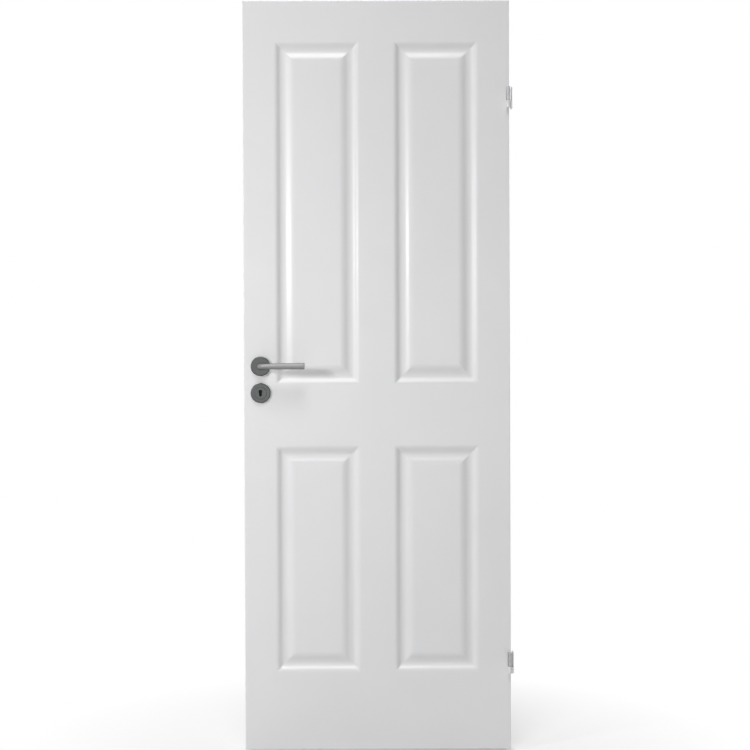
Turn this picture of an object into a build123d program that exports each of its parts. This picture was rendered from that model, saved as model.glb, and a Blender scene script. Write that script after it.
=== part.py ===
from build123d import *
import os

# A moulded four-panel interior door leaf, with its lever handles, mortise lock and lift-off hinges.
# Sizes are in millimetres. +Z is up, the front faces -Y and the hinges are at the +X edge.
# The origin lies on the seat of the lower hinge's frame half, level with the middle of that hinge
# and of the leaf's thickness.

os.makedirs("parts", exist_ok=True)

# Leaf
LEAF_WIDTH = 725.0
LEAF_HEIGHT = 2040.0
LEAF_THICKNESS = 40.0
SKIN_THICKNESS = 3.2
SKIN_EDGE_RADIUS = 1.8
STILE_WIDTH = 34.0
TOP_RAIL_DEPTH = 38.0
BOTTOM_RAIL_DEPTH = 64.0

# Panel layout on both faces
SIDE_MARGIN = 84.0
MUNTIN_WIDTH = 90.0
TOP_MARGIN = 108.0
LOCK_MARGIN = 165.0
LOWER_PANEL_HEIGHT = 620.0
BOTTOM_MARGIN = 211.0

# Moulding round each panel, measured inwards from the panel's edge and down from the face.
# The turns are the shares of each width at which its curve is steepest.
OVOLO_WIDTH = 24.5
SCOOP_WIDTH = 32.5
OVOLO_TURN = 0.5
SCOOP_TURN = 0.43
GROOVE_DEPTH = 9.5
FIELD_DEPTH = 1.0

# Lift-off hinges
LOWER_HINGE_RISE = 235.0
UPPER_HINGE_DROP = 264.0
PLATE_THICKNESS = 3.0
PLATE_DEPTH = 28.0
PLATE_CORNER = 6.0
HINGE_GAP = 5.0
AXIS_INSET = 3.0
AXIS_STANDOFF = 7.0
KNUCKLE_DIAMETER = 12.0
DOOR_KNUCKLE_HEIGHT = 37.0
FRAME_KNUCKLE_HEIGHT = 18.0
WASHER_THICKNESS = 2.0
KNUCKLE_EDGE = 0.8
PIN_DIAMETER = 7.0
PIN_CLEARANCE = 0.05
PIN_END_GAP = 1.5
KNUCKLE_CAP = 3.0
BEARING_PLAY = 0.1
CRANK_RADIUS = 2.0
SCREW_HOLE_DIAMETER = 5.0
SCREW_HEAD_DIAMETER = 9.0
SCREW_PITCH_ACROSS = 16.0
SCREW_PITCH_UP = 36.0

# Lock
BACKSET = 45.0
LEVER_RISE = 1047.0
KEY_DROP = 73.0
CASE_DEPTH = 76.0
CASE_HEIGHT = 152.0
CASE_THICKNESS = 15.0
FOREND_WIDTH = 20.0
FOREND_HEIGHT = 165.0
FOREND_THICKNESS = 3.0
FOREND_SCREW_PITCH = 145.0
MORTISE_PLAY = 0.5
BOLT_PLAY = 0.3
BOLT_LENGTH = 30.0
LATCH_WIDTH = 12.0
LATCH_HEIGHT = 20.0
LATCH_LIFT = 6.0
LATCH_BEVEL = 8.0
DEAD_BOLT_WIDTH = 9.0
DEAD_BOLT_HEIGHT = 30.0
DEAD_BOLT_LIFT = 14.0
FOLLOWER_HOLE = 12.0
KEYHOLE_HEAD = 10.0
KEYHOLE_SLOT = 7.0
KEYHOLE_HEIGHT = 18.0
KEY_POCKET_DEPTH = 5.0
KEY_POCKET_PLAY = 0.5

# Handle furniture
HANDLE_ROSE_DIAMETER = 53.0
HANDLE_ROSE_HEIGHT = 9.0
KEY_ROSE_DIAMETER = 54.0
KEY_ROSE_HEIGHT = 6.5
KEY_BOSS_DIAMETER = 34.0
KEY_BOSS_HEIGHT = 2.0
ROSE_EDGE = 3.0
BOSS_EDGE = 1.2
BUSH_DIAMETER = 20.0
BUSH_PROUD = 1.4
BUSH_PLAY = 0.02
NECK_DIAMETER = 14.0
NECK_PLAY = 0.06
ELBOW_RADIUS = 20.0
LEVER_REACH = 48.0
LEVER_LENGTH = 122.0
GRIP_DIAMETER = 17.0
GRIP_FLARE = 34.0
GRIP_END_RADIUS = 1.6
SPINDLE_SIZE = 8.0
SPINDLE_PLAY = 0.05
SOCKET_DEPTH = 26.0
SKIN_SPINDLE_HOLE = 16.0
SKIN_KEY_HOLE = 20.0

# Positions worked out from the sizes above
HINGE_HEIGHT = DOOR_KNUCKLE_HEIGHT + WASHER_THICKNESS + FRAME_KNUCKLE_HEIGHT
HINGE_EDGE = -(PLATE_THICKNESS + HINGE_GAP)
HINGE_SPACING = LEAF_HEIGHT - LOWER_HINGE_RISE - UPPER_HINGE_DROP
LOCK_EDGE = HINGE_EDGE - LEAF_WIDTH
LEAF_FOOT = -LOWER_HINGE_RISE
LEAF_HEAD = LEAF_FOOT + LEAF_HEIGHT
FRONT_FACE = -LEAF_THICKNESS / 2
BACK_FACE = LEAF_THICKNESS / 2
AXIS_X = HINGE_EDGE - AXIS_INSET
AXIS_Y = FRONT_FACE - AXIS_STANDOFF
PANEL_WIDTH = (LEAF_WIDTH - 2 * SIDE_MARGIN - MUNTIN_WIDTH) / 2
LOWER_PANEL_FOOT = LEAF_FOOT + BOTTOM_MARGIN
LOWER_PANEL_HEAD = LOWER_PANEL_FOOT + LOWER_PANEL_HEIGHT
UPPER_PANEL_FOOT = LOWER_PANEL_HEAD + LOCK_MARGIN
UPPER_PANEL_HEAD = LEAF_HEAD - TOP_MARGIN
SPINDLE_X = LOCK_EDGE + BACKSET
LEVER_Z = LEAF_FOOT + LEVER_RISE
KEY_Z = LEVER_Z - KEY_DROP
LOCK_Z = (LEVER_Z + KEY_Z) / 2
CASE_FRONT = LOCK_EDGE + FOREND_THICKNESS
HINGE_HEIGHTS = {"lower": 0.0, "upper": HINGE_SPACING}


def block(x0, x1, y0, y1, z0, z1):
    """A plain box between two corners."""
    middle = Pos((x0 + x1) / 2, (y0 + y1) / 2, (z0 + z1) / 2)
    return middle * Box(x1 - x0, y1 - y0, z1 - z0)


def post(diameter, x, y, z0, z1):
    """An upright round post."""
    return Pos(x, y, (z0 + z1) / 2) * Cylinder(diameter / 2, z1 - z0)


def bore_through(diameter, x, z, y0, y1):
    """A round rod from front to back, for drilling."""
    return Pos(x, (y0 + y1) / 2, z) * Rot(90, 0, 0) * Cylinder(diameter / 2, y1 - y0)


def ogee_arcs(start, end, turn):
    """Two arcs that run level at start and end, and meet at a share of the line between them."""
    meeting = Vector(*start) * (1 - turn) + Vector(*end) * turn
    return [TangentArc(start, meeting, tangent=(1, 0)), TangentArc(end, meeting, tangent=(-1, 0))]


def moulding_section():
    """The pressed skin cut across one side of a panel: x runs inwards, y runs down from the face."""
    edge, groove = (0, 0), (OVOLO_WIDTH, GROOVE_DEPTH)
    field = (OVOLO_WIDTH + SCOOP_WIDTH, FIELD_DEPTH)
    outline = []
    for drop in (0, SKIN_THICKNESS):
        points = [(x, y + drop) for x, y in (edge, groove, field)]
        outline += ogee_arcs(points[0], points[1], OVOLO_TURN)
        outline += ogee_arcs(points[1], points[2], SCOOP_TURN)
    for x, y in (edge, field):
        outline.append(Line((x, y), (x, y + SKIN_THICKNESS)))
    return make_face(outline)


def moulding_side(start, end):
    """The moulding along one side of a panel, cut to a mitre at both ends."""
    start, end = Vector(start[0], FRONT_FACE, start[1]), Vector(end[0], FRONT_FACE, end[1])
    along = (end - start).normalized()
    inward = Vector(0, -1, 0).cross(along)
    inset = OVOLO_WIDTH + SCOOP_WIDTH
    across = Plane(origin=start, x_dir=inward, z_dir=inward.cross(Vector(0, 1, 0)))
    bar = extrude(across * moulding_section(), (end - start).length, dir=along)
    corners = [start, end, end + (inward - along) * inset, start + (inward + along) * inset]
    mitre = make_face(Polyline(corners, close=True))
    return bar & extrude(mitre, GROOVE_DEPTH + SKIN_THICKNESS, dir=(0, 1, 0))


def pressed_panel(x0, x1, z0, z1):
    """One panel: the moulding round its four sides and the raised field."""
    inset = OVOLO_WIDTH + SCOOP_WIDTH
    top = FRONT_FACE + FIELD_DEPTH
    panel = block(x0 + inset, x1 - inset, top, top + SKIN_THICKNESS, z0 + inset, z1 - inset)
    corners = [(x0, z0), (x1, z0), (x1, z1), (x0, z1)]
    for start, end in zip(corners, corners[1:] + corners[:1]):
        panel += moulding_side(start, end)
    return panel


def skin():
    """The front skin: a sheet with four pressed panels, drilled for the spindle and the key."""
    sheet = block(LOCK_EDGE, HINGE_EDGE, FRONT_FACE, FRONT_FACE + SKIN_THICKNESS, LEAF_FOOT, LEAF_HEAD)
    sheet = fillet(sheet.faces().sort_by(Axis.Y)[0].edges(), SKIN_EDGE_RADIUS)
    left = LOCK_EDGE + SIDE_MARGIN
    right = HINGE_EDGE - SIDE_MARGIN - PANEL_WIDTH
    rows = [(LOWER_PANEL_FOOT, LOWER_PANEL_HEAD), (UPPER_PANEL_FOOT, UPPER_PANEL_HEAD)]
    for x0 in (left, right):
        for z0, z1 in rows:
            x1 = x0 + PANEL_WIDTH
            sheet -= block(x0, x1, FRONT_FACE, FRONT_FACE + SKIN_THICKNESS, z0, z1)
            sheet += pressed_panel(x0, x1, z0, z1)
    for size, z in ((SKIN_SPINDLE_HOLE, LEVER_Z), (SKIN_KEY_HOLE, KEY_Z)):
        sheet -= bore_through(size, SPINDLE_X, z, FRONT_FACE, FRONT_FACE + SKIN_THICKNESS)
    return sheet


def hinge_plate(x0, z):
    """A plate on edge, its two rear corners rounded."""
    rear = FRONT_FACE + PLATE_DEPTH
    plate = block(x0, x0 + PLATE_THICKNESS, FRONT_FACE, rear, z - HINGE_HEIGHT / 2, z + HINGE_HEIGHT / 2)
    corners = plate.edges().filter_by(Axis.X).group_by(Axis.Y)[-1]
    return fillet(corners, PLATE_CORNER)


def sunk_hole(x, y, z, inward, thickness):
    """A countersunk screw hole through a plate on edge; inward is 1 or -1 along x from its outer face."""
    sink = (SCREW_HEAD_DIAMETER - SCREW_HOLE_DIAMETER) / 2
    drill = Pos(0, 0, thickness / 2) * Cylinder(SCREW_HOLE_DIAMETER / 2, thickness)
    cone = Pos(0, 0, sink / 2) * Cone(SCREW_HEAD_DIAMETER / 2, SCREW_HOLE_DIAMETER / 2, sink)
    return Pos(x, y, z) * Rot(0, 90 * inward, 0) * (drill + cone)


def drill_plate(half, x, z, inward):
    """Drills a hinge plate's four screw holes from its outer face at x."""
    middle = FRONT_FACE + PLATE_DEPTH / 2
    for y in (middle - SCREW_PITCH_ACROSS / 2, middle + SCREW_PITCH_ACROSS / 2):
        for hole_z in (z - SCREW_PITCH_UP / 2, z + SCREW_PITCH_UP / 2):
            half -= sunk_hole(x, y, hole_z, inward, PLATE_THICKNESS)
    return half


def knuckle(z0, z1):
    """A barrel on the hinge axis with softened rims, not yet drilled."""
    barrel = post(KNUCKLE_DIAMETER, AXIS_X, AXIS_Y, z0, z1)
    return fillet(barrel.edges().filter_by(GeomType.CIRCLE), KNUCKLE_EDGE)


def door_half(z):
    """The half on the leaf: a plate let into the edge and a capped barrel that drops on the pin."""
    z1 = z + HINGE_HEIGHT / 2
    z0 = z1 - DOOR_KNUCKLE_HEIGHT
    web_edge = HINGE_EDGE - PLATE_THICKNESS
    web = block(web_edge, HINGE_EDGE, AXIS_Y, FRONT_FACE, z0 + KNUCKLE_EDGE, z1 - KNUCKLE_EDGE)
    half = hinge_plate(web_edge, z) + web + knuckle(z0, z1)
    half -= post(PIN_DIAMETER + 2 * PIN_CLEARANCE, AXIS_X, AXIS_Y, z0, z1 - KNUCKLE_CAP)
    return drill_plate(half, HINGE_EDGE, z, -1)


def frame_half(z):
    """The half on the frame: a drilled plate whose lower strip is cranked round to a barrel."""
    z0 = z - HINGE_HEIGHT / 2
    z1 = z0 + FRAME_KNUCKLE_HEIGHT
    reach = AXIS_Y - PLATE_THICKNESS / 2
    low, high = z0 + KNUCKLE_EDGE, z1 - KNUCKLE_EDGE
    forward = block(-PLATE_THICKNESS, 0, reach, FRONT_FACE, low, high)
    across = block(AXIS_X, 0, reach, reach + PLATE_THICKNESS, low, high)
    crank = forward + across
    outer = crank.edges().filter_by(Axis.Z).sort_by(lambda e: e.center().X - e.center().Y)[-1]
    crank = fillet(outer, CRANK_RADIUS)
    half = hinge_plate(-PLATE_THICKNESS, z) + crank + knuckle(z0, z1)
    half -= post(PIN_DIAMETER, AXIS_X, AXIS_Y, z0, z1)
    return drill_plate(half, -PLATE_THICKNESS, z, 1)


def hinge_pin(z):
    """The fixed pin, from the foot of the frame barrel to near the cap of the door barrel."""
    z0 = z - HINGE_HEIGHT / 2
    z1 = z + HINGE_HEIGHT / 2 - KNUCKLE_CAP - PIN_END_GAP
    rod = post(PIN_DIAMETER, AXIS_X, AXIS_Y, z0, z1)
    return chamfer(rod.edges().filter_by(GeomType.CIRCLE).sort_by(Axis.Z)[-1], PIN_END_GAP)


def hinge_washer(z):
    """The bearing ring that the door barrel turns on."""
    z0 = z - HINGE_HEIGHT / 2 + FRAME_KNUCKLE_HEIGHT
    z1 = z0 + WASHER_THICKNESS - BEARING_PLAY
    ring = post(KNUCKLE_DIAMETER, AXIS_X, AXIS_Y, z0, z1)
    return ring - post(PIN_DIAMETER + 2 * PIN_CLEARANCE, AXIS_X, AXIS_Y, z0, z1)


def cut_mortises(piece):
    """Lets both hinge plates into the leaf's edge."""
    for z in HINGE_HEIGHTS.values():
        piece -= hinge_plate(HINGE_EDGE - PLATE_THICKNESS, z)
    return piece


def edge_timber(x0, x1, z0, z1):
    """A timber between the two skins."""
    return block(x0, x1, FRONT_FACE + SKIN_THICKNESS, BACK_FACE - SKIN_THICKNESS, z0, z1)


def forend_plate():
    """The lock's face plate, with round ends, flush in the leaf's edge."""
    outline = SlotOverall(FOREND_HEIGHT, FOREND_WIDTH, rotation=90)
    place = Plane(origin=(LOCK_EDGE, 0, LOCK_Z), x_dir=(0, 1, 0), z_dir=(1, 0, 0))
    return extrude(place * outline, FOREND_THICKNESS)


def lock_forend():
    """The face plate cut for both bolts and drilled for its two screws."""
    plate = forend_plate() - latch_room(BOLT_PLAY) - dead_bolt_room(BOLT_PLAY)
    for z in (LOCK_Z - FOREND_SCREW_PITCH / 2, LOCK_Z + FOREND_SCREW_PITCH / 2):
        plate -= sunk_hole(LOCK_EDGE, 0, z, 1, FOREND_THICKNESS)
    return plate


def bolt_room(width, height, z, play):
    """The space a bolt slides in, from the face plate into the case."""
    y, half = width / 2 + play, height / 2 + play
    return block(LOCK_EDGE, LOCK_EDGE + BOLT_LENGTH + play, -y, y, z - half, z + half)


def latch_room(play):
    return bolt_room(LATCH_WIDTH, LATCH_HEIGHT, LEVER_Z + LATCH_LIFT, play)


def dead_bolt_room(play):
    return bolt_room(DEAD_BOLT_WIDTH, DEAD_BOLT_HEIGHT, KEY_Z + DEAD_BOLT_LIFT, play)


def keyhole_tool(y0, y1, play):
    """A keyhole prism: a round head over a round-ended slot."""
    head_z = KEY_Z + (KEYHOLE_HEIGHT - KEYHOLE_HEAD) / 2
    foot_z = KEY_Z - (KEYHOLE_HEIGHT - KEYHOLE_SLOT) / 2
    half = KEYHOLE_SLOT / 2 + play
    head = bore_through(KEYHOLE_HEAD + 2 * play, SPINDLE_X, head_z, y0, y1)
    slot = block(SPINDLE_X - half, SPINDLE_X + half, y0, y1, foot_z, head_z)
    foot = bore_through(2 * half, SPINDLE_X, foot_z, y0, y1)
    return head + slot + foot


def lock_case():
    """The lock's body: bolt rooms, the spindle's way through and a blind key pocket each side."""
    half_y, half_z = CASE_THICKNESS / 2, CASE_HEIGHT / 2
    case = block(CASE_FRONT, CASE_FRONT + CASE_DEPTH, -half_y, half_y, LOCK_Z - half_z, LOCK_Z + half_z)
    case -= latch_room(BOLT_PLAY) + dead_bolt_room(BOLT_PLAY)
    case -= bore_through(FOLLOWER_HOLE, SPINDLE_X, LEVER_Z, -half_y, half_y)
    case -= keyhole_tool(-half_y, -half_y + KEY_POCKET_DEPTH, KEY_POCKET_PLAY)
    case -= keyhole_tool(half_y - KEY_POCKET_DEPTH, half_y, KEY_POCKET_PLAY)
    return case


def latch_bolt():
    """The latch, drawn back flush, with its sloping nose."""
    bolt = latch_room(0)
    nose = bolt.edges().filter_by(Axis.Z).sort_by(lambda e: e.center().X - e.center().Y)[0]
    return chamfer(nose, LATCH_BEVEL, LATCH_BEVEL)


def lock_stile():
    """The timber at the lock edge, mortised for the lock."""
    stile = edge_timber(LOCK_EDGE, LOCK_EDGE + STILE_WIDTH, LEAF_FOOT, LEAF_HEAD)
    half_y = CASE_THICKNESS / 2 + MORTISE_PLAY
    half_z = CASE_HEIGHT / 2 + MORTISE_PLAY
    deep = CASE_FRONT + CASE_DEPTH + MORTISE_PLAY
    stile -= block(CASE_FRONT, deep, -half_y, half_y, LOCK_Z - half_z, LOCK_Z + half_z)
    return stile - forend_plate()


def on_face(front, z):
    """The local frame of a fitting on one face: its z axis points away from the leaf."""
    y, out = (FRONT_FACE, -1) if front else (BACK_FACE, 1)
    return Plane(origin=(SPINDLE_X, y, z), x_dir=(1, 0, 0), z_dir=(0, out, 0))


def turned(points):
    """A ring or disc turned from its half outline; a third number rounds that corner."""
    outline = Polygon([(r, h) for r, h, _ in points], align=None)
    for r, h, radius in points:
        if radius:
            corner = outline.vertices().sort_by_distance((r, h))[0]
            outline = fillet(corner, radius)
    return revolve(Plane.XZ * outline, Axis.Z)


def handle_rose(front):
    radius, bore, top = HANDLE_ROSE_DIAMETER / 2, BUSH_DIAMETER / 2 + BUSH_PLAY, HANDLE_ROSE_HEIGHT
    rose = turned([(bore, 0, 0), (radius, 0, 0), (radius, top, ROSE_EDGE), (bore, top, 0)])
    return on_face(front, LEVER_Z) * rose


def neck_bush(front):
    """The bearing ring in the rose, standing a little proud with a rounded lip."""
    outer, inner = BUSH_DIAMETER / 2, NECK_DIAMETER / 2 + NECK_PLAY
    top = HANDLE_ROSE_HEIGHT + BUSH_PROUD
    lip = min(BUSH_PROUD, outer - inner) / 2
    bush = turned([(inner, 0, 0), (outer, 0, 0), (outer, top, lip), (inner, top, lip)])
    return on_face(front, LEVER_Z) * bush


def key_rose(front):
    """A disc with a raised middle, cut through with the keyhole."""
    rim, boss = KEY_ROSE_DIAMETER / 2, KEY_BOSS_DIAMETER / 2
    step, top = KEY_ROSE_HEIGHT, KEY_ROSE_HEIGHT + KEY_BOSS_HEIGHT
    plate = [(0, 0, 0), (rim, 0, 0), (rim, step, ROSE_EDGE)]
    raised = [(boss, step, 0), (boss, top, BOSS_EDGE), (0, top, 0)]
    rose = on_face(front, KEY_Z) * turned(plate + raised)
    y0, y1 = (FRONT_FACE - top, FRONT_FACE) if front else (BACK_FACE, BACK_FACE + top)
    return rose - keyhole_tool(y0, y1, 0)


def lever(front):
    """Neck, swept elbow and a turned grip that swells towards a flat end."""
    neck_top = LEVER_REACH - ELBOW_RADIUS
    neck = Line((0, 0, 0), (0, 0, neck_top))
    elbow = TangentArc((0, 0, neck_top), (ELBOW_RADIUS, 0, LEVER_REACH), tangent=(0, 0, 1))
    stem = sweep(Circle(NECK_DIAMETER / 2), path=Wire([neck, elbow]))
    thin, thick = NECK_DIAMETER / 2, GRIP_DIAMETER / 2
    swell = ELBOW_RADIUS + GRIP_FLARE
    outline = make_face(
        [
            Line((ELBOW_RADIUS, 0), (ELBOW_RADIUS, thin)),
            Spline((ELBOW_RADIUS, thin), (swell, thick), tangents=((1, 0), (1, 0))),
            Polyline((swell, thick), (LEVER_LENGTH, thick), (LEVER_LENGTH, 0), (ELBOW_RADIUS, 0)),
        ]
    )
    outline = fillet(outline.vertices().sort_by_distance((LEVER_LENGTH, thick))[0], GRIP_END_RADIUS)
    side = Plane(origin=(0, 0, LEVER_REACH), x_dir=(1, 0, 0), z_dir=(0, -1, 0))
    grip = revolve(side * outline, Axis((0, 0, LEVER_REACH), (1, 0, 0)))
    socket = SPINDLE_SIZE + 2 * SPINDLE_PLAY
    handle = stem + grip - Pos(0, 0, SOCKET_DEPTH / 2) * Box(socket, socket, SOCKET_DEPTH)
    return on_face(front, LEVER_Z) * handle


def spindle():
    half = SPINDLE_SIZE / 2
    y0, y1 = FRONT_FACE - SOCKET_DEPTH + SPINDLE_PLAY, BACK_FACE + SOCKET_DEPTH - SPINDLE_PLAY
    return block(SPINDLE_X - half, SPINDLE_X + half, y0, y1, LEVER_Z - half, LEVER_Z + half)


pieces = {}
face = skin()
pieces["front_skin"] = cut_mortises(face)
pieces["back_skin"] = cut_mortises(mirror(face, Plane.XZ))
inner_left, inner_right = LOCK_EDGE + STILE_WIDTH, HINGE_EDGE - STILE_WIDTH
pieces["lock_stile"] = lock_stile()
pieces["hinge_stile"] = cut_mortises(edge_timber(inner_right, HINGE_EDGE, LEAF_FOOT, LEAF_HEAD))
pieces["top_rail"] = edge_timber(inner_left, inner_right, LEAF_HEAD - TOP_RAIL_DEPTH, LEAF_HEAD)
pieces["bottom_rail"] = edge_timber(inner_left, inner_right, LEAF_FOOT, LEAF_FOOT + BOTTOM_RAIL_DEPTH)
pieces["lock_case"] = lock_case()
pieces["lock_forend"] = lock_forend()
pieces["latch_bolt"] = latch_bolt()
pieces["dead_bolt"] = dead_bolt_room(0)
pieces["spindle"] = spindle()
for side, front in (("front", True), ("back", False)):
    pieces[side + "_handle_rose"] = handle_rose(front)
    pieces[side + "_neck_bush"] = neck_bush(front)
    pieces[side + "_key_rose"] = key_rose(front)
    pieces[side + "_lever"] = lever(front)
for name, height in HINGE_HEIGHTS.items():
    pieces[name + "_hinge_door_half"] = door_half(height)
    pieces[name + "_hinge_frame_half"] = frame_half(height)
    pieces[name + "_hinge_pin"] = hinge_pin(height)
    pieces[name + "_hinge_washer"] = hinge_washer(height)

for node, piece in pieces.items():
    export_step(piece, "parts/" + node + ".step")
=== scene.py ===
"""Dresses a moulded four-panel interior door: pressed skins, lever handles, lock and lift-off hinges."""

import bpy
import numpy as np
from bpy.props import FloatProperty, FloatVectorProperty, IntProperty, PointerProperty
from mathutils import Matrix, Vector


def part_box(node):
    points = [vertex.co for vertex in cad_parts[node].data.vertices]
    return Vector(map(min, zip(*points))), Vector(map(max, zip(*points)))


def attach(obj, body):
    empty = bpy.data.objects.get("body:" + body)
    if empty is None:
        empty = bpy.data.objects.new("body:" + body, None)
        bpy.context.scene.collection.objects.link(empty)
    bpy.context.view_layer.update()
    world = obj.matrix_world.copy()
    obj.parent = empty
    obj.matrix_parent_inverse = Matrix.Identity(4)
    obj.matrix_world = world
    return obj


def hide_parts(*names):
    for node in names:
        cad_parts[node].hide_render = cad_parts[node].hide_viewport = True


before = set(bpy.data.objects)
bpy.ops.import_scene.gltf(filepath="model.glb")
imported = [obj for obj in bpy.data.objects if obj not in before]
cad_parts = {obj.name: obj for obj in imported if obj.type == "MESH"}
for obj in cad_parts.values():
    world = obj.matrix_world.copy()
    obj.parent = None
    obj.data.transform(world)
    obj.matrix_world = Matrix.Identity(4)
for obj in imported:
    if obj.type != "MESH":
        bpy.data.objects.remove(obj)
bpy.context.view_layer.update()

bl_info = {
    "name": "Interior Door",
    "version": (1, 0, 0),
    "blender": (4, 5, 0),
    "location": "View3D > Sidebar > Door",
    "description": "A pressed panel door leaf with lever handles, a mortise lock and lift-off hinges",
    "category": "Object",
}

WELD_STEP = 1e-7  # metres within which two points are one
FLAT = 1e-9  # metres within which a cell's corners lie in one plane
BESIDE = 0.0006  # metres from a curve's end to the line that keeps its shading off the flat
CURVE_STEPS = 13  # lines across each curve of the moulding
CREASE = 32.0  # degrees past which an edge is sharp
SENSOR = 36.0  # width of the camera's sensor in millimetres
NOISE_SPAN = (0.3, 0.7)  # where most of a noise's values lie
FACES = {"front": -1.0, "back": 1.0}
HINGES = ("lower", "upper")


def node_box(node):
    """The lowest and highest corner of a CAD node as arrays."""
    low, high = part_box(node)
    return np.array(low), np.array(high)


def node_middle(node):
    """The middle of a CAD node's box."""
    low, high = node_box(node)
    return (low + high) / 2


def disc_size(node):
    """Radius and height of a round CAD node that stands on a face."""
    low, high = node_box(node)
    return (high[0] - low[0]) / 2, high[1] - low[1]


LEAF_LOW = np.minimum(node_box("front_skin")[0], node_box("back_skin")[0])
LEAF_HIGH = np.maximum(node_box("front_skin")[1], node_box("back_skin")[1])
FACE_LEVELS = {"front": LEAF_LOW[1], "back": LEAF_HIGH[1]}
HANDLE_AXIS = node_middle("front_handle_rose")[[0, 2]]
KEY_AXIS = node_middle("front_key_rose")[[0, 2]]
LOCK_MIDDLE = node_middle("lock_forend")
LEVER_LOW, LEVER_HIGH = node_box("front_lever")
HINGE_LEVELS = [node_middle(side + "_hinge_door_half")[2] for side in HINGES]
HINGE_HALF_HEIGHT = np.ptp([c[2] for c in node_box("lower_hinge_door_half")]) / 2


def size(name, description, default):
    """A length in metres that the user may change."""
    return FloatProperty(name=name, description=description, default=default, unit="LENGTH", precision=4)


def share(name, description, default):
    """A number from 0 to 1 that the user may change."""
    return FloatProperty(name=name, description=description, default=default, min=0.0, max=1.0,
                         subtype="FACTOR")


def tint(name, description, default):
    """A linear colour that the user may change."""
    return FloatVectorProperty(name=name, description=description, default=default, size=3,
                               min=0.0, max=1.0, subtype="COLOR")


def strength(name, description, default):
    """A lamp's power in watts."""
    return FloatProperty(name=name, description=description, default=default, unit="POWER")


def place(name, description, default):
    """A point in metres."""
    return FloatVectorProperty(name=name, description=description, default=default, size=3,
                               subtype="TRANSLATION", precision=3)


def pane(name, default):
    """A lamp's width and height in metres."""
    return FloatVectorProperty(name=name, description="Width and height", default=default, size=2,
                               precision=3)


class LeafSettings(bpy.types.PropertyGroup):
    """Layout of the pressed skins and their finish."""

    skin_thickness: size("Skin thickness", "Thickness of the pressed sheet", 0.0032)
    arris: size("Arris radius", "Rounding along the leaf's outer edges", 0.0018)
    side_margin: size("Stile margin", "From the leaf's edge to the panels", 0.084)
    muntin: size("Muntin", "Between the two columns of panels", 0.090)
    top_margin: size("Top margin", "From the leaf's head to the upper panels", 0.108)
    lock_margin: size("Lock margin", "Between the lower and the upper panels", 0.165)
    lower_panel: size("Lower panel", "Height of the lower panels", 0.620)
    bottom_margin: size("Bottom margin", "From the leaf's foot to the lower panels", 0.211)
    ovolo: size("Ovolo", "Width of the curved step down from the face", 0.0245)
    scoop: size("Scoop", "Width of the curved slope that rises to the field", 0.0325)
    ovolo_turn: share("Ovolo turn", "Share of the ovolo's width at which it is steepest", 0.5)
    scoop_turn: share("Scoop turn", "Share of the scoop's width at which it is steepest", 0.43)
    groove: size("Groove depth", "Deepest line of the moulding below the face", 0.0095)
    field: size("Field depth", "The panel's field below the face", 0.001)
    handle_hole: size("Handle hole", "Half the width of the skins' hole for the neck", 0.008)
    key_hole: size("Key hole", "Half the width of the skins' hole for the key", 0.0095)
    let_in: size("Let-in", "How deep the hinge plates are let into the edge", 0.003)
    lacquer: tint("Lacquer", "White lacquer on both faces", (0.80, 0.80, 0.81))
    edge_lacquer: tint("Edge lacquer", "White lacquer on the edge timbers", (0.79, 0.79, 0.80))
    roughness: share("Roughness", "Roughness of the lacquer", 0.34)


class HandleSettings(bpy.types.PropertyGroup):
    """Sizes of the lever, the roses and their finish."""

    neck_radius: size("Neck radius", "Radius of the lever's neck", 0.007)
    grip_radius: size("Grip radius", "Radius of the lever's grip", 0.0085)
    elbow: size("Elbow radius", "Bend between neck and grip", 0.020)
    flare: size("Flare", "Length over which the neck swells into the grip", 0.034)
    grip_end: size("Grip end radius", "Rounding at the lever's end", 0.0016)
    rose_edge: size("Rose edge radius", "Rounding of the roses' outer edge", 0.003)
    rose_bore: size("Rose bore", "Radius of the hole that holds the bush", 0.01002)
    bush_bore: size("Bush bore", "Radius of the hole that the neck turns in", 0.00706)
    bush_lip: size("Bush lip", "Rounding of the bush's lip", 0.0007)
    boss_radius: size("Boss radius", "Radius of the key rose's raised middle", 0.017)
    boss_height: size("Boss height", "Height of the key rose's raised middle", 0.002)
    boss_edge: size("Boss edge radius", "Rounding of the raised middle", 0.0012)
    keyhole_head: size("Keyhole head", "Radius of the keyhole's round head", 0.005)
    keyhole_slot: size("Keyhole slot", "Half the width of the keyhole's slot", 0.0035)
    keyhole_height: size("Keyhole height", "Whole height of the keyhole", 0.018)
    lever_steel: tint("Lever steel", "Satin steel of the levers", (0.27, 0.27, 0.275))
    # The roses' steel is darker than the levers': painted dark reflection of the camera side on their flat
    # faces.
    rose_steel: tint("Rose steel", "Dark satin steel of the roses", (0.085, 0.089, 0.089))
    bush_plastic: tint("Bush plastic", "Dark bearing ring", (0.06, 0.06, 0.065))
    around: IntProperty(name="Steps around", description="Facets round each turned piece",
                        default=72, min=12)


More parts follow.
